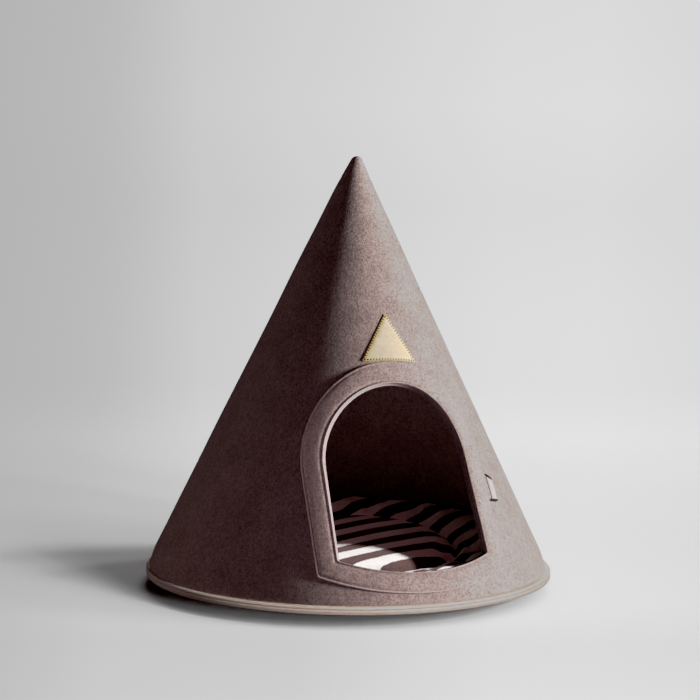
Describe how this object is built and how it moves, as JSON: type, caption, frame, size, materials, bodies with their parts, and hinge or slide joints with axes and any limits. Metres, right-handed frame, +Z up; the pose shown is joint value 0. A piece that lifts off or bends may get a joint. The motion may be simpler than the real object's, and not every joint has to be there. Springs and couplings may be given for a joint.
{
  "type": "felt cat cave",
  "caption": "Conical felt cat cave with an arched doorway in a sewn felt surround, on a round plywood base with feet, and a quilted round cushion inside.",
  "frame": {"origin": "on the floor under the middle of the round base", "axes": "+Z up; the doorway faces -Y; +X is to the right of someone who looks into the doorway"},
  "size_m": [0.45, 0.45, 0.4759],
  "materials": {
    "felt": "stiff, fine-haired heathered grey-brown felt",
    "leather": "smooth cream leather with tan edges",
    "tape": "plain woven light grey tape",
    "plywood": "matt pale plywood with its plies showing at the edge",
    "rubber": "matt black",
    "cushion_cloth": "woven cotton with black and white stripes"
  },
  "bodies": {
    "root": {"cone_shell": "felt", "door_surround": "felt", "leather_patch": "leather", "side_tag": "tape", "base_disc": "plywood", "foot_1": "rubber", "foot_2": "rubber", "foot_3": "rubber", "foot_4": "rubber", "cushion": "cushion_cloth"}
  },
  "joints": []
}
